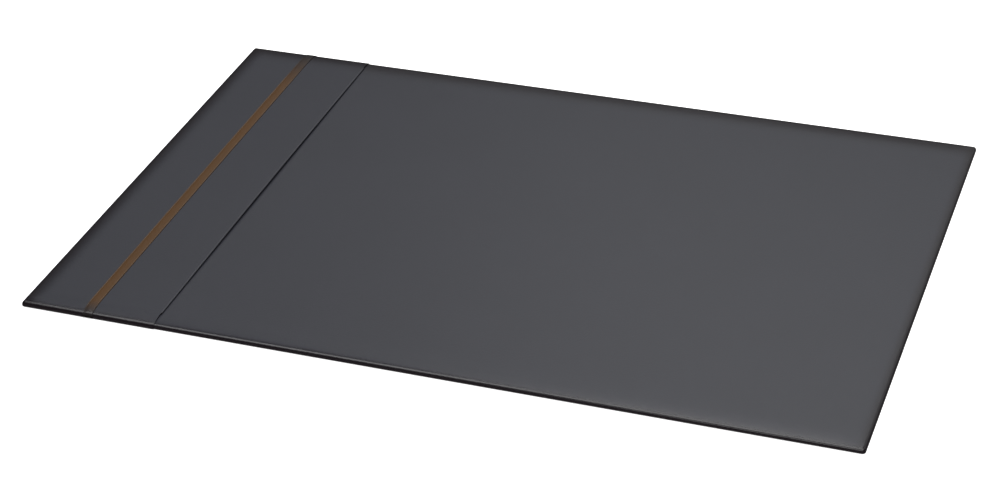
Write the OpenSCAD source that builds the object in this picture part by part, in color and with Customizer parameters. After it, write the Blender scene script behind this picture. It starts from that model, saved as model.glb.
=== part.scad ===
// Padded leather desk mat with a flat document pocket along its left side.
// The origin is at the middle of the underside. X runs along the width, Y to the back, Z up.

/* [Mat] */
// Width over all, left to right
mat_w = 600; // [300:1:900]
// Depth over all, front to back, over the pocket's leather
mat_d = 400; // [200:1:600]
// Radius of the corners seen from above
corner_r = 3; // [2.5:0.1:10]
// Rounding along the top edges
edge_r = 1.2; // [0.8:0.1:1.3]

/* [Layers] */
// Thickness of the backing sheet on the underside
base_t = 0.4; // [0.3:0.1:1.5]
// How far the backing sheet stops short of the mat's edge
base_inset = 4; // [2:0.5:10]
// Thickness of the cover leather
leather_t = 0.5; // [0.3:0.1:0.7]
// Width of the margin that the leather is turned under, from the mat's edge
turn_in = 16; // [12:1:30]
// Thickness of the stiff core board
board_t = 2.2; // [1:0.1:4]
// Thickness of the padding
foam_t = 0.8; // [0.8:0.1:3]

/* [Pocket] */
// Width of the pocket, from the mat's left side to its mouth
pocket_w = 104; // [70:1:140]
// Clear height left in the pocket under the mouth's hem
pocket_gap = 0.3; // [0.2:0.1:2]
// Thickness of the card in the pocket panel
card_t = 0.3; // [0.2:0.1:1]
// Width of the hem folded back under the mouth
hem_w = 12; // [8:1:25]
// Thickness of the pared leather in that hem
hem_t = 0.3; // [0.3:0.1:0.6]
// Thickness of the lining cloth
lining_t = 0.2; // [0.1:0.05:0.3]

/* [Accent strip] */
// Distance of the strip's centre line from the mat's left side
strip_x = 52.5; // [25:0.5:60]
// Width of the strip
strip_w = 7.8; // [6:0.1:16]
// Thickness of the strip
strip_t = 0.3; // [0.2:0.05:0.6]
// Distance of each row of stitches from the strip's edge
stitch_margin = 0.6; // [0.6:0.1:2]
// Length of one stitch
stitch_l = 2.8; // [1.5:0.1:4]
// Gap from one stitch to the next in its row
stitch_space = 0.8; // [0.4:0.1:3]
// Width of the thread
thread_w = 0.45; // [0.3:0.05:0.8]
// How far a row ends from the mat's front and back
stitch_end = 4; // [3:0.5:20]

/* [Fits] */
// Glue line between parts that wrap round each other
glue_t = 0.05; // [0.02:0.01:0.1]
// Gap where two sheets meet edge to edge
butt_gap = 0.3; // [0.2:0.1:1]

/* [Hidden] */
$fn = 48;

// Margin that a cutting shape runs past the solid it cuts.
over = 1;

// Heights of the layers, from the underside up.
board_z = base_t + leather_t;
foam_z = board_z + board_t;
skin_z = foam_z + foam_t;
face_z = skin_z + leather_t;

// Heights in the pocket panel.
hem_z = face_z + pocket_gap;
card_z = hem_z + hem_t;
panel_skin_z = card_z + card_t;
panel_z = panel_skin_z + leather_t;

// Outline of the mat over the pocket's leather, as [left, right, front, back].
mat_box = [-mat_w / 2, mat_w / 2, -mat_d / 2, mat_d / 2];
mouth_x = mat_box[0] + pocket_w;

// The main cover lies inside the pocket's leather on the left, front and back, but not on the right.
wrap_t = leather_t + glue_t;
cover_box = [mat_box[0] + wrap_t, mat_box[1], mat_box[2] + wrap_t, mat_box[3] - wrap_t];
cover_r = corner_r - wrap_t;

// The board and the padding fill the cover. The padding's rounded edge is kept within its thickness.
core_box = shrink(cover_box, wrap_t);
core_r = cover_r - wrap_t;
inner_edge_r = min(edge_r - leather_t, foam_t - glue_t);

// The turned margins leave this opening, which the infill card levels.
opening_box = shrink(mat_box, turn_in);

// The card and the lining stay on the flat of the panel, clear of its rounded edges and corners.
card_inset = edge_r + glue_t;
card_r = corner_r - card_inset;
card_box = [mat_box[0] + card_inset, mouth_x - wrap_t, mat_box[2] + card_inset, mat_box[3] - card_inset];
lining_box = [card_box[0], mouth_x - hem_w - butt_gap, card_box[2], card_box[3]];

strip_mid = mat_box[0] + strip_x;
strip_top = panel_z + glue_t + strip_t;
stitch_pitch = stitch_l + stitch_space;
stitch_count = floor((mat_d - 2 * stitch_end + stitch_space) / stitch_pitch);
thread_h = thread_w / 2;

// A box [left, right, front, back] with every side moved in.
function shrink(b, by) = [b[0] + by, b[1] - by, b[2] + by, b[3] - by];

// A flat rectangular sheet.
module sheet(b, z0, z1) {
    translate([b[0], b[2], z0])
        cube([b[1] - b[0], b[3] - b[2], z1 - z0]);
}

// A flat sheet with rounded corners.
module round_sheet(b, r, z0, z1) {
    rounded_slab(b, r, z0, z1, 0);
}

// Half of an edge's section, from the axis out to r, with its top corner rounded by e.
module edge_section(r, z0, z1, e) {
    translate([0, z0])
        square([r - e, z1 - z0]);
    translate([0, z0])
        square([r, z1 - e - z0]);
    if (e > 0)
        intersection() {
            translate([r - e, z1 - e])
                circle(r = e);
            translate([r - e, z1 - e])
                square([e, e]);
        }
}

// A whole section between two sides, lying in the plane of the sheet's thickness.
module slab_section(low, high, z0, z1, e) {
    half = (high - low) / 2;
    translate([low + half, 0]) {
        edge_section(half, z0, z1, e);
        mirror([1, 0])
            edge_section(half, z0, z1, e);
    }
}

// A slab with round corners of radius r in plan and top edges rounded by e.
module rounded_slab(b, r, z0, z1, e) {
    for (x = [b[0] + r, b[1] - r], y = [b[2] + r, b[3] - r])
        translate([x, y, 0])
            rotate_extrude()
                edge_section(r, z0, z1, e);
    translate([b[0] + r, 0, 0])
        rotate([90, 0, 90])
            linear_extrude(b[1] - b[0] - 2 * r)
                slab_section(b[2], b[3], z0, z1, e);
    translate([0, b[3] - r, 0])
        rotate([90, 0, 0])
            linear_extrude(b[3] - b[2] - 2 * r)
                slab_section(b[0], b[1], z0, z1, e);
}

// Leather folded over a slab: closed on top and round the sides, open underneath inside its turned margin.
module folded_skin(b, r, z1) {
    difference() {
        rounded_slab(b, r, base_t, z1, edge_r);
        rounded_slab(shrink(b, leather_t), r - leather_t, board_z, z1 - leather_t, inner_edge_r);
        sheet(opening_box, base_t - over, board_z + over / 2);
    }
}

// Stiff fibreboard that keeps the mat flat.
module core_board() {
    color("#9a8f80")
        round_sheet(core_box, core_r, board_z, foam_z);
}

// Thin padding over the board, with its top edge rounded like the leather's inside.
module foam_pad() {
    color("#d8d6cf")
        rounded_slab(core_box, core_r, foam_z, skin_z, inner_edge_r);
}

// Main leather cover, turned under along the right side and beside the pocket.
module top_cover() {
    color("#4b4c50")
        difference() {
            folded_skin(cover_box, cover_r, face_z);
            // Under the pocket the pocket's own leather takes this margin's place.
            sheet([mat_box[0] - over, mouth_x + butt_gap, mat_box[2] - over, mat_box[3] + over],
                base_t - over, board_z);
        }
}

// Card that fills the space between the turned margins, so that the underside is level.
module infill_card() {
    color("#b7a98f")
        sheet(shrink(opening_box, butt_gap), base_t, board_z);
}

// Suede-finish backing that closes the underside and lies on the desk.
module base_cover() {
    color("#2b2b2e")
        round_sheet(shrink(mat_box, base_inset), corner_r, 0, base_t);
}

// Card that keeps the pocket panel flat.
module pocket_board() {
    color("#b7a98f")
        round_sheet(card_box, card_r, card_z, panel_skin_z);
}

// Cloth on the inner face of the pocket panel, from the left edge to the mouth's hem.
module pocket_lining() {
    color("#232326")
        round_sheet(lining_box, card_r, card_z - lining_t, card_z);
}

// Leather of the pocket: panel, its three wrapped sides, their turned margins and the mouth's hem.
module pocket_cover() {
    color("#4b4c50") {
        difference() {
            folded_skin(mat_box, corner_r, panel_z);
            sheet([mouth_x, mat_box[1] + over, mat_box[2] - over, mat_box[3] + over],
                base_t - over, panel_z + over);
        }
        inner = shrink(mat_box, leather_t);
        sheet([mouth_x - leather_t, mouth_x, inner[2], inner[3]], hem_z, panel_skin_z);
        sheet([mouth_x - hem_w, mouth_x, inner[2], inner[3]], hem_z, card_z);
    }
}

// Brown leather strip that runs over the panel and down the mat's front and back.
module accent_strip() {
    inside = glue_t;
    outside = glue_t + strip_t;
    color("#6b4a2f")
        translate([strip_mid - strip_w / 2, 0, 0])
            rotate([90, 0, 90])
                linear_extrude(strip_w)
                    difference() {
                        slab_section(mat_box[2] - outside, mat_box[3] + outside,
                            board_z, panel_z + outside, edge_r + outside);
                        slab_section(mat_box[2] - inside, mat_box[3] + inside,
                            board_z - over, panel_z + inside, edge_r + inside);
                    }
}

// Two rows of stitches, each stitch a short length of thread lying on the strip.
module strip_stitching() {
    row = strip_w / 2 - stitch_margin;
    first = -((stitch_count - 1) * stitch_pitch + stitch_l) / 2;
    color("#a98a5e")
        for (x = [-row, row], i = [0 : stitch_count - 1])
            translate([strip_mid + x - thread_w / 2, first + i * stitch_pitch, strip_top])
                cube([thread_w, stitch_l, thread_h]);
}

core_board();
foam_pad();
top_cover();
infill_card();
base_cover();
pocket_board();
pocket_lining();
pocket_cover();
accent_strip();
strip_stitching();
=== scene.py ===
import math

import bmesh
import bpy
from mathutils import Matrix, Vector


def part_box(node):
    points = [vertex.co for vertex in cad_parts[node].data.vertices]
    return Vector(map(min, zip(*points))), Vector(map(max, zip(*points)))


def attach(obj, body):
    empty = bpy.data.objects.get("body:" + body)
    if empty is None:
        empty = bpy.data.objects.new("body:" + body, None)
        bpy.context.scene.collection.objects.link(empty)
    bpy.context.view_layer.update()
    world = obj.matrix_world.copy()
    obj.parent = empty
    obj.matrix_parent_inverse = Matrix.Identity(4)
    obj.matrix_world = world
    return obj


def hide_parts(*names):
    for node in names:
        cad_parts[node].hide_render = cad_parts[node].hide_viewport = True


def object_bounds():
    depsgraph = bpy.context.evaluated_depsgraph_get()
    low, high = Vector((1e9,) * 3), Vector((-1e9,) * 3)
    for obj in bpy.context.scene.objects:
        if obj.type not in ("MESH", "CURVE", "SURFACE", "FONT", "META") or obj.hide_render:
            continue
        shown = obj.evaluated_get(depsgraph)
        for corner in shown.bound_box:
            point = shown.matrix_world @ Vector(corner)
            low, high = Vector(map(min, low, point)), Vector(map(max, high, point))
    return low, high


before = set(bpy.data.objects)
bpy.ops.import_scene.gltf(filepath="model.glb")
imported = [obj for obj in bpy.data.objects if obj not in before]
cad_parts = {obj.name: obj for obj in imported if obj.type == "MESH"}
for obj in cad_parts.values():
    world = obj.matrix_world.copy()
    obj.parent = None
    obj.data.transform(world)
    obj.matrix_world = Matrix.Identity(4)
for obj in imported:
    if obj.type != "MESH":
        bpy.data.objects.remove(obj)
cad_low, cad_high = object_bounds()

MM = 0.001
BODY = "root"

# Places that differ by less than this are taken as the same.
SAME = 0.01 * MM
# Points of a round corner that has closed up lie nearer each other than this, and become one.
CLOSE = 0.3 * MM
# How nearly a face or an edge has to point along an axis, to be picked as doing so.
FACING = 0.9
SQUARE_ON = 0.99

# Boxes of the layers, from the frame.
cover_low, cover_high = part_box("top_cover")
pocket_low, pocket_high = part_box("pocket_cover")
board_low, board_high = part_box("core_board")
foam_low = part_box("foam_pad")[0]
backing_low, backing_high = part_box("base_cover")
card_low, card_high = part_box("pocket_board")
band_low, band_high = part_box("accent_strip")
thread_low, thread_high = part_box("strip_stitching")

# The mat's outline is the pocket's on the left, front and back, and the cover's on the right.
outline_low = Vector((pocket_low.x, pocket_low.y, 0))
outline_high = Vector((cover_high.x, pocket_high.y, 0))
mouth_x = pocket_high.x
face_z = cover_high.z
panel_z = pocket_high.z
band_x = (band_low.x + band_high.x) / 2
mat_w = outline_high.x - outline_low.x
mat_d = outline_high.y - outline_low.y

# The leather and how it is folded. A layer and its glue line take up WRAP, and SIDE_H goes down each side.
LEATHER_T = 0.5 * MM
WRAP = 0.55 * MM
TURN_IN = 16 * MM
OUTLINE_CORNER = 3 * MM
CORNER_STEPS = 6
FOLD_STEPS = 3
MARGIN_TOP = cover_low.z + LEATHER_T

# The rim: a quarter round that springs from RIM_Z, then a pillowed slope that reaches the flat of the mat.
RIM_R = 2.6 * MM
RIM_Z = 1.05 * MM
ARC_END = math.radians(7)
ARC_STEPS = 8
SLOPE_W = 16 * MM
SLOPE_RINGS = [4 * MM, 6 * MM, 8.5 * MM, 11 * MM, 13.5 * MM, SLOPE_W]

# Spacing of the cuts across the main cover and across the pocket panel.
COVER_STEP = 20 * MM
PANEL_STEP = 10 * MM

# The board's rounded edge, and the foam, which is pared to almost nothing before it reaches the rim.
BOARD_STEPS = 6
FOAM_EDGE = 2.6 * MM
FOAM_EDGE_T = 0.06 * MM
FOAM_CORNER = 1 * MM
FOAM_GAP = 0.05 * MM

# The pocket's mouth, which stands open a little at the middle and is held shut for MOUTH_HELD at both ends.
MOUTH_LIFT = 0.9 * MM
MOUTH_HELD = 13.5 * MM
held_y = outline_high.y - MOUTH_HELD
# Points on the line where the mouth is held may lie this far off it.
HELD_SLACK = 0.1 * MM
LIP_T = 1.34 * MM
LIP_R = LIP_T / 2
LIP_STEPS = 6
lip_x = mouth_x - LIP_R
HEM_W = 12 * MM
HEM_STEPS = 3
BUTT_GAP = 0.3 * MM
# The pocket is first made longer by this, so that the round corners there are cut off with it.
PAST_MOUTH = 40 * MM
# The main cover's margin starts this far beyond the end of the pocket's.
MARGIN_GAP = 0.1 * MM
margin_end = lip_x + MARGIN_GAP

# The card and the lining inside the pocket panel.
CARD_INSET = 6 * MM
CARD_T = 0.3 * MM
LINING_INSET = 8 * MM
LINING_T = 0.2 * MM
LAYER_GAP = 0.02 * MM
LAYER_CORNER = 2 * MM
LAYER_STEP = 4 * MM

# The strip and its stitches.
BAND_T = 0.3 * MM
BAND_GLUE = 0.05 * MM
STITCH_L = 2.8 * MM
STITCH_PITCH = 3.6 * MM
STITCH_W = 0.45 * MM
STITCH_COUNT = 109
STITCH_ROW = (thread_high.x - thread_low.x - STITCH_W) / 2
STITCH_SIDES = 8
# Shares of a stitch's length in its straight part and in each tapering end, and how far an end dips.
STITCH_BODY = 0.8
STITCH_END = 0.1
STITCH_TAPER = 0.5
STITCH_DIP = 0.06 * MM
# Height of a stitch's middle above the strip, which the thread sinks into.
STITCH_RISE = 0.08 * MM
FURROW_W = 0.5 * MM
FURROW_D = 0.1 * MM
FURROW_SLACK = 0.02 * MM
TURNED_UP = 0.5
# The strip's surface is felt for from this height downwards.
ABOVE = 100 * MM

# The backing's cut edges, softened where two faces meet at more than SHARP radians.
CUT_BEVEL = 0.12 * MM
CUT_STEPS = 2
SHARP = 1

# Edges that turn less than this are shaded smooth. The suede sheet keeps its softened cut edge distinct.
SMOOTH_DEGREES = 35
SUEDE_DEGREES = 20


def pick(piece, kind, wanted):
    """Selects the vertices, edges or faces for which wanted is true, in edit mode."""
    bpy.ops.mesh.select_mode(type=kind)
    bpy.ops.mesh.select_all(action="DESELECT")
    shape = bmesh.from_edit_mesh(piece.data)
    for element in {"VERT": shape.verts, "EDGE": shape.edges, "FACE": shape.faces}[kind]:
        if wanted(element):
            element.select_set(True)
    bmesh.update_edit_mesh(piece.data)


def cut_blank(name, low, high, corner):
    """A block between two corners with its upright edges rounded, left in edit mode."""
    bpy.ops.object.select_all(action="DESELECT")
    bpy.ops.mesh.primitive_cube_add(size=1, location=(low + high) / 2, scale=high - low)
    piece = bpy.context.object
    piece.name = name
    bpy.ops.object.transform_apply(location=True, rotation=True, scale=True)
    bpy.ops.object.mode_set(mode="EDIT")
    pick(piece, "EDGE", lambda e: abs((e.verts[0].co - e.verts[1].co).normalized().z) > FACING)
    bpy.ops.mesh.bevel(offset=corner, segments=CORNER_STEPS, affect="EDGES")
    return piece


def inset_rings(corner, start, rings, height):
    """Insets the selected flat face ring by ring, to the height given for each.

    The round corners close to a point at the corner's radius.
    """
    done, level = start, height(start)
    for ring in sorted(set(rings) | {corner}):
        if ring <= done:
            continue
        bpy.ops.mesh.inset(thickness=ring - done, depth=height(ring) - level)
        if ring == corner:
            bpy.ops.mesh.remove_doubles(threshold=CLOSE)
        done, level = ring, height(ring)


def cut_grid(low, high, step):
    """Cuts the whole piece along lines of about that spacing, so that it can bend."""
    for axis in (0, 1):
        count = round((high[axis] - low[axis]) / step)
        for i in range(1, count):
            place = low.copy()
            place[axis] = low[axis] + i * (high[axis] - low[axis]) / count
            across = Vector((0, 0, 0))
            across[axis] = 1
            bpy.ops.mesh.select_all(action="SELECT")
            bpy.ops.mesh.bisect(plane_co=place, plane_no=across)


def give_thickness(piece, thickness, side):
    """Turns a shell into leather of that thickness, on its inner side (-1) or its outer side (1)."""
    solid = piece.modifiers.new("thickness", "SOLIDIFY")
    solid.thickness = thickness
    solid.offset = side
    solid.use_even_offset = True
    bpy.ops.object.modifier_apply(modifier=solid.name)


def smooth(piece, degrees):
    """Shades a piece smooth, except at edges that turn more than that."""
    bpy.ops.object.select_all(action="DESELECT")
    piece.select_set(True)
    bpy.context.view_layer.objects.active = piece
    bpy.ops.object.shade_smooth_by_angle(angle=math.radians(degrees))


def ease(t):
    """Rises from 0 to 1 with t, slowly at both ends."""
    t = min(max(t, 0), 1)
    return t * t * (3 - 2 * t)


def rim_height(out, flat_z):
    """Gives the height of a leather layer's surface as a function of the distance from its own edge.

    out is how far the layer lies outside the main cover.
    """
    radius = RIM_R + out
    arc_w = radius * (1 - math.sin(ARC_END))
    arc_z = RIM_Z + radius * math.cos(ARC_END)
    fall = flat_z - arc_z

    def height(d):
        if d <= arc_w:
            return RIM_Z + math.sqrt(max(radius**2 - (radius - d) ** 2, 0))
        part = min((d - arc_w) / (SLOPE_W - arc_w), 1)
        return arc_z + fall * (1 - (1 - part) ** 2)

    return height


def rim_rings(out):
    """Distances from a leather layer's edge at which its rim and slope have a ring of points."""
    radius = RIM_R + out
    turns = [math.pi / 2 + (ARC_END - math.pi / 2) * i / ARC_STEPS for i in range(1, ARC_STEPS + 1)]
    return [radius * (1 - math.sin(turn)) for turn in turns] + SLOPE_RINGS


def mouth_lift(x, y):
    """How far the pocket panel stands open: most at the mouth's middle, not at all at its held sides."""
    across = ease((x - outline_low.x) / (mouth_x - outline_low.x))
    along = max(1 - (y / held_y) ** 2, 0)
    return MOUTH_LIFT * across**2 * along**1.5


def folded_shell(name, low, high, corner, out, flat_z):
    """Leather folded over a slab, left in edit mode: round rim, pillowed top, and a margin turned under."""
    bottom = cover_low.z
    piece = cut_blank(name, Vector((low.x, low.y, bottom)), Vector((high.x, high.y, RIM_Z)), corner)
    pick(piece, "EDGE", lambda e: all(v.co.z < bottom + SAME for v in e.verts))
    bpy.ops.mesh.bevel(offset=LEATHER_T, segments=FOLD_STEPS, affect="EDGES")
    pick(piece, "FACE", lambda f: f.normal.z < -SQUARE_ON)
    inset_rings(corner, LEATHER_T, [TURN_IN - WRAP + out], lambda d: 0)
    bpy.ops.mesh.delete(type="FACE")
    pick(piece, "FACE", lambda f: f.normal.z > SQUARE_ON and f.calc_center_median().z > RIM_Z - SAME)
    inset_rings(corner, 0, rim_rings(out), rim_height(out, flat_z))
    return piece


def bend_panel(piece):
    """Moves a finished flat layer of the pocket panel so that it follows the panel's own curve."""
    panel = rim_height(WRAP, panel_z)
    for v in piece.data.vertices:
        edge = min(v.co.x - outline_low.x, v.co.y - outline_low.y, outline_high.y - v.co.y)
        v.co.z += mouth_lift(v.co.x, v.co.y) + panel(edge) - panel_z


# ---------------------------------------------------------------- the mat's layers

# Board: stiff, with its top edge rounded so that the leather goes over it without a ridge.
board_corner = OUTLINE_CORNER - 2 * WRAP
board_round = board_high.z - RIM_Z


def board_height(d):
    """Height of the board's top over the distance d from its edge."""
    return RIM_Z + math.sqrt(max(board_round**2 - (board_round - min(d, board_round)) ** 2, 0))


board = cut_blank("stiff_board", board_low, Vector((board_high.x, board_high.y, RIM_Z)), board_corner)
pick(board, "FACE", lambda f: f.normal.z > SQUARE_ON)
board_turns = [math.radians(90 * i / BOARD_STEPS) for i in range(1, BOARD_STEPS + 1)]
inset_rings(board_corner, 0, [board_round * (1 - math.cos(turn)) for turn in board_turns], board_height)
bpy.ops.object.mode_set(mode="OBJECT")

# Foam: it fills the cover's pillowed slope, and its edge is pared thin under the rim.
pared_z = foam_low.z + FOAM_EDGE_T
cover_surface = rim_height(0, face_z)


def foam_height(d):
    """Height of the foam's top over the distance d from its edge, just clear of the leather."""
    if d <= 0:
        return pared_z
    return max(cover_surface(d + FOAM_EDGE + WRAP) - LEATHER_T - FOAM_GAP, pared_z)


foam = cut_blank(
    "foam_layer",
    Vector((board_low.x + FOAM_EDGE, board_low.y + FOAM_EDGE, foam_low.z)),
    Vector((board_high.x - FOAM_EDGE, board_high.y - FOAM_EDGE, pared_z)),
    FOAM_CORNER)
pick(foam, "FACE", lambda f: f.normal.z > SQUARE_ON)
foam_rings = [r - FOAM_EDGE for r in SLOPE_RINGS if r > FOAM_EDGE + FOAM_CORNER]
inset_rings(FOAM_CORNER, 0, foam_rings, foam_height)
bpy.ops.object.mode_set(mode="OBJECT")

# Main cover. Beside the pocket its margin is left out, because the pocket's own leather takes that place.
cover = folded_shell("mat_cover", cover_low, cover_high, OUTLINE_CORNER - WRAP, 0, face_z)
cut_grid(cover_low, cover_high, COVER_STEP)
bpy.ops.mesh.select_all(action="SELECT")
bpy.ops.mesh.bisect(plane_co=(margin_end, 0, 0), plane_no=(1, 0, 0))
pick(cover, "FACE", lambda f: (
    f.calc_center_median().x < margin_end and f.calc_center_median().z < MARGIN_TOP))
bpy.ops.mesh.delete(type="FACE")
bpy.ops.object.mode_set(mode="OBJECT")
give_thickness(cover, LEATHER_T, -1)

# Pocket: the same fold, cut off at the mouth, with the leather rolled round a lip and hemmed back.
past_mouth = Vector((mouth_x + PAST_MOUTH, pocket_high.y, 0))
pocket = folded_shell("pocket_skin", pocket_low, past_mouth, OUTLINE_CORNER, WRAP, panel_z)
cut_grid(pocket_low, past_mouth, PANEL_STEP)
bpy.ops.mesh.select_all(action="SELECT")
bpy.ops.mesh.bisect(plane_co=(lip_x, 0, 0), plane_no=(1, 0, 0), clear_outer=True)


def on_lip(v):
    """Whether a point lies on the panel's cut edge, between the ends where the mouth is held."""
    return abs(v.co.x - lip_x) < SAME and v.co.z > face_z and abs(v.co.y) < held_y + HELD_SLACK


pick(pocket, "EDGE", lambda e: all(on_lip(v) for v in e.verts))
turns = [math.pi * i / LIP_STEPS for i in range(LIP_STEPS + 1)]
for before, after in zip(turns, turns[1:]):
    move = (LIP_R * (math.sin(after) - math.sin(before)), 0, LIP_R * (math.cos(after) - math.cos(before)))
    bpy.ops.mesh.extrude_region_move(TRANSFORM_OT_translate={"value": move})
for part in range(HEM_STEPS):
    bpy.ops.mesh.extrude_region_move(TRANSFORM_OT_translate={"value": (-HEM_W / HEM_STEPS, 0, 0)})
bpy.ops.mesh.select_all(action="SELECT")
bpy.ops.mesh.normals_make_consistent(inside=False)
bpy.ops.object.mode_set(mode="OBJECT")
# All that lies above the lower half of the rim follows the open mouth.
for v in pocket.data.vertices:
    if v.co.z > RIM_Z + RIM_R / 2:
        v.co.z += mouth_lift(v.co.x, v.co.y)

# Strip: cut from the pocket's own curve, a glue line above it, with a furrow under each row of stitches.
bpy.ops.object.select_all(action="DESELECT")
pocket.select_set(True)
bpy.context.view_layer.objects.active = pocket
bpy.ops.object.duplicate()
band = bpy.context.object
band.name = "accent_band"
bpy.ops.object.mode_set(mode="EDIT")
for x, side in ((band_low.x, -1), (band_high.x, 1)):
    bpy.ops.mesh.select_all(action="SELECT")
    bpy.ops.mesh.bisect(plane_co=(x, 0, 0), plane_no=(side, 0, 0), clear_outer=True)
for row in (-STITCH_ROW, STITCH_ROW):
    for beside in (-FURROW_W, 0, FURROW_W):
        bpy.ops.mesh.select_all(action="SELECT")
        bpy.ops.mesh.bisect(plane_co=(band_x + row + beside, 0, 0), plane_no=(1, 0, 0))
pick(band, "FACE", lambda f: f.calc_center_median().z < MARGIN_TOP)
bpy.ops.mesh.delete(type="FACE")
bpy.ops.mesh.select_all(action="SELECT")
bpy.ops.transform.shrink_fatten(value=BAND_GLUE)
bpy.ops.object.mode_set(mode="OBJECT")
give_thickness(band, BAND_T, 1)
for v in band.data.vertices:
    if abs(abs(v.co.x - band_x) - STITCH_ROW) < FURROW_SLACK and v.normal.z > TURNED_UP:
        v.co.z -= FURROW_D

bpy.context.view_layer.objects.active = pocket
give_thickness(pocket, LEATHER_T, -1)

# Stitches: one is shaped and copied along both rows, each copy laid on the strip where it falls.
bpy.ops.object.select_all(action="DESELECT")
bpy.ops.mesh.primitive_cylinder_add(
    vertices=STITCH_SIDES, radius=STITCH_W / 2, depth=STITCH_L * STITCH_BODY, rotation=(math.pi / 2, 0, 0))
stitch = bpy.context.object
bpy.ops.object.transform_apply(location=True, rotation=True, scale=True)
bpy.ops.object.mode_set(mode="EDIT")
for end in (-1, 1):
    pick(stitch, "FACE", lambda f: f.normal.y * end > FACING)
    move = (0, end * STITCH_L * STITCH_END, -STITCH_DIP)
    bpy.ops.mesh.extrude_region_move(TRANSFORM_OT_translate={"value": move})
    bpy.ops.transform.resize(value=(STITCH_TAPER, 1, STITCH_TAPER))
bpy.ops.object.mode_set(mode="OBJECT")
copies = []
for row in (-STITCH_ROW, STITCH_ROW):
    for i in range(STITCH_COUNT):
        y = (i - (STITCH_COUNT - 1) / 2) * STITCH_PITCH
        _, place, up, _ = band.ray_cast(Vector((band_x + row, y, ABOVE)), Vector((0, 0, -1)))
        along = Vector((0, up.z, -up.y)).normalized()
        side = along.cross(up).normalized()
        copy = stitch.copy()
        copy.data = stitch.data.copy()
        turn = Matrix((side, along, up)).transposed().to_4x4()
        copy.data.transform(Matrix.Translation(place + up * STITCH_RISE) @ turn)
        bpy.context.collection.objects.link(copy)
        copies.append(copy)
bpy.data.objects.remove(stitch)
bpy.ops.object.select_all(action="DESELECT")
for copy in copies:
    copy.select_set(True)
bpy.context.view_layer.objects.active = copies[0]
bpy.ops.object.join()
stitches = bpy.context.object
stitches.name = "band_stitches"

# Card and lining of the pocket panel follow its curve, clear of its steep rim. Both are cut along the same
# lines, so that they bend alike and don't cross.
card_top = panel_z - LEATHER_T - LAYER_GAP
lining_top = card_top - CARD_T - LAYER_GAP
card = cut_blank(
    "panel_card",
    Vector((pocket_low.x + CARD_INSET, pocket_low.y + CARD_INSET, card_top - CARD_T)),
    Vector((mouth_x - LIP_T, pocket_high.y - CARD_INSET, card_top)), LAYER_CORNER)
cut_grid(card_low, card_high, LAYER_STEP)
bpy.ops.object.mode_set(mode="OBJECT")
lining = cut_blank(
    "panel_lining",
    Vector((pocket_low.x + LINING_INSET, pocket_low.y + LINING_INSET, lining_top - LINING_T)),
    Vector((mouth_x - LIP_R - HEM_W - BUTT_GAP, pocket_high.y - LINING_INSET, lining_top)), LAYER_CORNER)
cut_grid(card_low, card_high, LAYER_STEP)
bpy.ops.object.mode_set(mode="OBJECT")
for layer in (card, lining):
    bend_panel(layer)

# Backing: suede sheet that lies on the desk, with softened cut edges.
backing = cut_blank("suede_backing", backing_low, backing_high, OUTLINE_CORNER)
pick(backing, "EDGE", lambda e: abs(e.calc_face_angle(0)) > SHARP)
bpy.ops.mesh.bevel(offset=CUT_BEVEL, segments=CUT_STEPS, affect="EDGES")
bpy.ops.object.mode_set(mode="OBJECT")


# ---------------------------------------------------------------- materials

# Sockets of a Mix node that are for colours.
MIX_A, MIX_B, MIX_RESULT = 6, 7, 2

# Length over which a wave texture of scale 1 repeats.
WAVE_LENGTH = 0.314

# Sides of the mat, as an axis and the side of it.
LEFT, RIGHT, FRONT, BACK = ("X", -1), ("X", 1), ("Y", -1), ("Y", 1)

# Widths of the painted shade that darkens the leather towards the mat's edges, and the strip towards its
# ends.
GREY_EDGE_SHADE = {LEFT: 17 * MM, RIGHT: 8 * MM, FRONT: 6 * MM, BACK: 26 * MM}
STRIP_END_SHADE = {FRONT: 18 * MM, BACK: 66 * MM}

# The front rim is rubbed smoother, fading out over this width.
POLISH_W = 9 * MM
POLISH_ROUGHNESS = 0.2

# Leather: the size of its pores and of its cloudy patches, the height of its pebble, and how far up its
# surface faces where the painted shade of its sides ends and where the face's colour is full.
PORE = 0.5 * MM
CLOUD = 70 * MM
LEATHER_RELIEF = 0.04 * MM
SIDE_ENDS, FACE_STARTS = 0.15, 0.6

# Heights of the other textures.
WEAVE_RELIEF = 0.05 * MM
PLY_RELIEF = 0.05 * MM
CELL_RELIEF = 0.2 * MM


def linear(colour):
    """An sRGB hex colour as linear red, green, blue and alpha."""
    parts = [int(colour[i:i + 2], 16) / 255 for i in (1, 3, 5)]
    return [c / 12.92 if c <= 0.04045 else ((c + 0.055) / 1.055) ** 2.4 for c in parts] + [1]


def add(owner, kind, inputs, **settings):
    """Adds a node to a material or the world. Each input is a value, or a link given as (node, output)."""
    new = owner.node_tree.nodes.new("ShaderNode" + kind)
    for name, value in settings.items():
        setattr(new, name, value)
    for name, value in inputs.items():
        if isinstance(value, tuple):
            owner.node_tree.links.new(value[0].outputs[value[1]], new.inputs[name])
        else:
            new.inputs[name].default_value = value
    return new


def new_material(name, roughness, ior, sheen=0):
    """Starts a material, and gives it with its shader and its coordinates."""
    material = bpy.data.materials.new(name)
    material.use_nodes = True
    shader = material.node_tree.nodes["Principled BSDF"]
    shader.inputs["Roughness"].default_value = roughness
    shader.inputs["IOR"].default_value = ior
    shader.inputs["Sheen Weight"].default_value = sheen
    return material, shader, add(material, "TexCoord", {})


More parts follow.
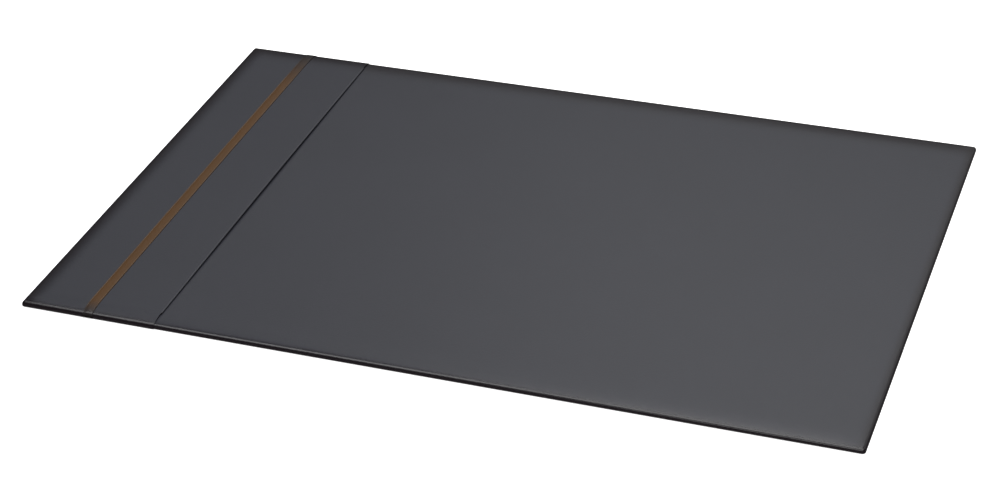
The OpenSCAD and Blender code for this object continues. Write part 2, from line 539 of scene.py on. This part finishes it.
def join_to(material, shader, colour, height, depth):
    """Colours the shader, and raises its surface by height over depth metres."""
    bump = add(material, "Bump", {"Height": height, "Distance": depth, "Strength": 1.0})
    material.node_tree.links.new(colour[0].outputs[colour[1]], shader.inputs["Base Color"])
    material.node_tree.links.new(bump.outputs["Normal"], shader.inputs["Normal"])


def edge_fade(material, coords, widths):
    """Rises from 0 at the mat's edge to 1 over the width given for each side that fades."""
    place = add(material, "SeparateXYZ", {0: (coords, "Object")})
    half = {"X": mat_w / 2, "Y": mat_d / 2}
    fade = None
    for (axis, side), width in widths.items():
        inward = add(material, "Math", {0: (place, axis), 1: -side}, operation="MULTIPLY")
        distance = add(material, "Math", {0: (inward, 0), 1: half[axis]}, operation="ADD")
        rise = add(material, "MapRange", {"Value": (distance, 0), "From Max": width},
                   interpolation_type="SMOOTHSTEP")
        if fade is None:
            fade = rise
        else:
            fade = add(material, "Math", {0: (fade, 0), 1: (rise, 0)}, operation="MULTIPLY")
    return fade


def leather(name, body, patch, rim, side, grain, roughness, ior, widths):
    """Pigmented smooth leather: a low pebble, faint cloudy patches, and painted shade on its sides and
    towards its edges.

    The front rim, where arms rest, is rubbed smoother than the rest.
    """
    material, shader, coords = new_material(name, roughness, ior)
    pebble = add(material, "TexVoronoi", {"Vector": (coords, "Object"), "Scale": 1 / grain},
                 feature="SMOOTH_F1")
    pores = add(material, "TexNoise", {"Vector": (coords, "Object"), "Scale": 1 / PORE, "Detail": 2.0})
    cloud = add(material, "TexNoise", {"Vector": (coords, "Object"), "Scale": 1 / CLOUD, "Detail": 3.0})
    tint = add(material, "Mix", {0: (cloud, 0), MIX_A: linear(body), MIX_B: linear(patch)}, data_type="RGBA")
    # Painted shade: the colour darkens to rim towards the mat's edges, over the widths given.
    inside = edge_fade(material, coords, widths)
    face = add(material, "Mix", {0: (inside, 0), MIX_A: linear(rim), MIX_B: (tint, MIX_RESULT)},
               data_type="RGBA")
    rubbed = edge_fade(material, coords, {FRONT: POLISH_W})
    finish = add(material, "MapRange",
                 {"Value": (rubbed, 0), "To Min": POLISH_ROUGHNESS, "To Max": roughness})
    material.node_tree.links.new(finish.outputs[0], shader.inputs["Roughness"])
    # Painted shade: where the surface faces sideways, on the mat's sides and the pocket's lip, the colour
    # turns to side.
    facing = add(material, "SeparateXYZ", {0: (coords, "Normal")})
    top = add(material, "MapRange", {"Value": (facing, "Z"), "From Min": SIDE_ENDS, "From Max": FACE_STARTS},
              interpolation_type="SMOOTHSTEP")
    colour = add(material, "Mix", {0: (top, 0), MIX_A: linear(side), MIX_B: (face, MIX_RESULT)},
                 data_type="RGBA")
    height = add(material, "Math", {0: (pebble, 0), 1: (pores, 0)}, operation="ADD")
    join_to(material, shader, (colour, MIX_RESULT), (height, 0), LEATHER_RELIEF)
    return material


def fibrous(name, dark, light, fibre, roughness, depth, sheen=0):
    """A matt fibrous stuff, such as suede, board or card: short tangled fibres in two tones."""
    material, shader, coords = new_material(name, roughness, 1.45, sheen)
    fibres = add(material, "TexNoise",
                 {"Vector": (coords, "Object"), "Scale": 1 / fibre, "Detail": 4.0, "Distortion": 1.5})
    colour = add(material, "Mix", {0: (fibres, 0), MIX_A: linear(dark), MIX_B: linear(light)},
                 data_type="RGBA")
    join_to(material, shader, (colour, MIX_RESULT), (fibres, 0), depth)
    return material


def woven(name, dark, light, pitch):
    """Plain cotton weave: crossed threads at their pitch, with painted shade between them."""
    material, shader, coords = new_material(name, 0.85, 1.5)
    rows = [
        add(material, "TexWave", {"Vector": (coords, "Object"), "Scale": WAVE_LENGTH / pitch},
            bands_direction=way)
        for way in ("X", "Y")]
    threads = add(material, "Math", {0: (rows[0], 1), 1: (rows[1], 1)}, operation="MAXIMUM")
    colour = add(material, "Mix", {0: (threads, 0), MIX_A: linear(dark), MIX_B: linear(light)},
                 data_type="RGBA")
    join_to(material, shader, (colour, MIX_RESULT), (threads, 0), WEAVE_RELIEF)
    return material


def twisted(name, dark, light, shaded_end, pitch):
    """Waxed polyester thread: slanting plies with painted shade in the twist, and a dull wax shine.

    Painted shade darkens the thread towards both ends of its row.
    """
    material, shader, coords = new_material(name, 0.5, 1.5)
    plies = add(material, "TexWave", {"Vector": (coords, "Object"), "Scale": WAVE_LENGTH / pitch},
                bands_direction="DIAGONAL")
    ply = add(material, "Mix", {0: (plies, 1), MIX_A: linear(dark), MIX_B: linear(light)}, data_type="RGBA")
    # Painted shade: the thread darkens towards the ends of its row, as the strip does.
    inside = edge_fade(material, coords, STRIP_END_SHADE)
    colour = add(material, "Mix", {0: (inside, 0), MIX_A: linear(shaded_end), MIX_B: (ply, MIX_RESULT)},
                 data_type="RGBA")
    join_to(material, shader, (colour, MIX_RESULT), (plies, 1), PLY_RELIEF)
    return material


def cellular(name, wall, hollow, cell):
    """Closed-cell foam: fine round cells, with painted shade inside them and lighter walls."""
    material, shader, coords = new_material(name, 0.95, 1.45)
    cells = add(material, "TexVoronoi", {"Vector": (coords, "Object"), "Scale": 1 / cell})
    colour = add(material, "Mix", {0: (cells, 0), MIX_A: linear(hollow), MIX_B: linear(wall)},
                 data_type="RGBA")
    join_to(material, shader, (colour, MIX_RESULT), (cells, 0), CELL_RELIEF)
    return material


# Calf leather, pigmented and pressed smooth: a soft sheen over a low pebble. The pebble is drawn at about
# twice its real size, so that it shows at this distance.
PEBBLE = 1.3 * MM
# Its third colour is painted shade at the mat's edges, and its fourth is painted shade on the sideways
# faces.
grey_leather = leather(
    "smooth_calf_grey", "#28292f", "#2b2c33", "#120c10", "#1e191c", PEBBLE, 0.38, 1.46, GREY_EDGE_SHADE)
# The strip's third and fourth colours are painted shade in the same way.
brown_leather = leather(
    "smooth_calf_brown", "#43290a", "#4a300d", "#1d1a1b", "#0a0705", PEBBLE, 0.42, 1.4, STRIP_END_SHADE)
# The thread's third colour is painted shade towards the ends of its rows.
waxed_thread = twisted("waxed_polyester_tan", "#4c3f31", "#665848", "#1f1c1c", 0.5 * MM)
# Napped microfibre: matt, with a faint bloom of light along its pile.
suede = fibrous("napped_microfibre_black", "#202022", "#38383b", 0.9 * MM, 0.95, 0.1 * MM, 0.3)
cotton = woven("plain_cotton_black", "#141416", "#2e2e31", 0.5 * MM)
# Pressed greyboard: dull and faintly mottled. Its fibres, the suede's and the card's are drawn several times
# their real size, so that they show.
greyboard = fibrous("pressed_greyboard", "#8a8074", "#a89d8d", 1.2 * MM, 0.9, 0.04 * MM)
white_foam = cellular("closed_cell_foam", "#dedcd5", "#b9b6ac", 0.8 * MM)
# Calendered card: rolled smooth, so it is a little less dull than the board.
card_stock = fibrous("calendered_card", "#a99b80", "#bdae93", 1.5 * MM, 0.8, 0.02 * MM)

finishes = [
    (cover, grey_leather, "cover_leather", ["top_cover"]),
    (pocket, grey_leather, "cover_leather", ["pocket_cover"]),
    (band, brown_leather, "strip_leather", ["accent_strip"]),
    (stitches, waxed_thread, "thread", ["strip_stitching"]),
    (backing, suede, "backing_suede", ["base_cover"]),
    (lining, cotton, "lining_cloth", ["pocket_lining"]),
    (board, greyboard, "greyboard", ["core_board"]),
    (foam, white_foam, "foam", ["foam_pad"]),
    (card, card_stock, "card", ["pocket_board"]),
]
for piece, material, slot, nodes in finishes:
    piece.data.materials.clear()
    piece.data.materials.append(material)
    smooth(piece, SUEDE_DEGREES if piece == backing else SMOOTH_DEGREES)
    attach(piece, BODY)
    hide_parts(*nodes)
# The infill card is the frame's own mesh and takes the same card stock.
for material_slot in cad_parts["infill_card"].material_slots:
    material_slot.material = card_stock


# ---------------------------------------------------------------- floor, light and camera

FLOOR_W = 14
FLOOR_GAP = 0.05 * MM
PAPER = "#fbfbfb"
PAPER_GLOW = 0.7

bpy.ops.object.select_all(action="DESELECT")
bpy.ops.mesh.primitive_plane_add(size=FLOOR_W, location=(0, 0, cad_low.z - FLOOR_GAP))
floor = bpy.context.object
floor.name = "studio_floor"
paper, paper_shader, _ = new_material("matt_studio_paper", 0.9, 1.45)
paper_shader.inputs["Base Color"].default_value = linear(PAPER)
# The paper glows faintly, as over a light table, so that it stays pale far from the softboxes.
paper_shader.inputs["Emission Color"].default_value = linear(PAPER)
paper_shader.inputs["Emission Strength"].default_value = PAPER_GLOW
floor.data.materials.append(paper)
# The leather mirrors the dim room instead of the floor, so that its rims stay dark.
floor.visible_glossy = False


def softbox(name, place, width, depth, power):
    """A soft rectangular light aimed at the middle of the mat."""
    bpy.ops.object.light_add(type="AREA", location=place)
    lamp = bpy.context.object
    lamp.name = name
    lamp.data.shape = "RECTANGLE"
    lamp.data.size = width
    lamp.data.size_y = depth
    lamp.data.energy = power
    lamp.rotation_euler = (-Vector(place)).to_track_quat("-Z", "Y").to_euler()


# Each softbox's name, place, width, depth and power in watts.
SOFTBOXES = [
    ("overhead_softbox", (0.0, -0.1, 2.2), 3.0, 1.6, 58),
    ("front_softbox", (0.4, -1.7, 1.7), 1.6, 0.8, 12),
    ("high_back_softbox", (0.0, 1.3, 2.0), 1.4, 0.6, 10),
    ("low_back_softbox", (0.0, 1.9, 1.3), 1.4, 0.6, 3.3),
    ("left_back_softbox", (-1.1, 1.7, 1.3), 1.0, 0.6, 1.3),
    ("right_back_softbox", (1.2, 1.7, 0.8), 1.0, 0.6, 2.5),
]
for box in SOFTBOXES:
    softbox(*box)

# The room is seen pale, but lights the mat only dimly, so that the softboxes shape it.
ROOM = "#fafafb"
ROOM_SEEN = 0.95
ROOM_LIGHT = 0.08
world = bpy.data.worlds.new("pale_studio")
world.use_nodes = True
background = world.node_tree.nodes["Background"]
seen = add(world, "LightPath", {})
strength = add(world, "MapRange",
               {"Value": (seen, "Is Camera Ray"), "To Min": ROOM_LIGHT, "To Max": ROOM_SEEN})
world.node_tree.links.new(strength.outputs["Result"], background.inputs["Strength"])
background.inputs["Color"].default_value = linear(ROOM)
bpy.context.scene.world = world
bpy.context.scene.view_settings.view_transform = "Standard"

# Camera: its place in metres, its turn, tilt and roll in degrees, and its lens and sensor in millimetres.
CAMERA_LENS = 87.53
CAMERA_SENSOR = 36
CAMERA_PLACE = Vector((0.5184, -1.4189, 0.9332))
CAMERA_TURN, CAMERA_TILT, CAMERA_ROLL = (math.radians(a) for a in (-20.579, 32.275, -2.335))
ahead = Vector((math.cos(CAMERA_TILT) * math.sin(CAMERA_TURN),
                math.cos(CAMERA_TILT) * math.cos(CAMERA_TURN),
                -math.sin(CAMERA_TILT)))
level = ahead.cross(Vector((0, 0, 1))).normalized()
upright = level.cross(ahead)
right = level * math.cos(CAMERA_ROLL) + upright * math.sin(CAMERA_ROLL)
up = upright * math.cos(CAMERA_ROLL) - level * math.sin(CAMERA_ROLL)
bpy.ops.object.camera_add()
camera = bpy.context.object
camera.matrix_world = Matrix.Translation(CAMERA_PLACE) @ Matrix((right, up, -ahead)).transposed().to_4x4()
camera.data.lens = CAMERA_LENS
camera.data.sensor_width = CAMERA_SENSOR
bpy.context.scene.camera = camera
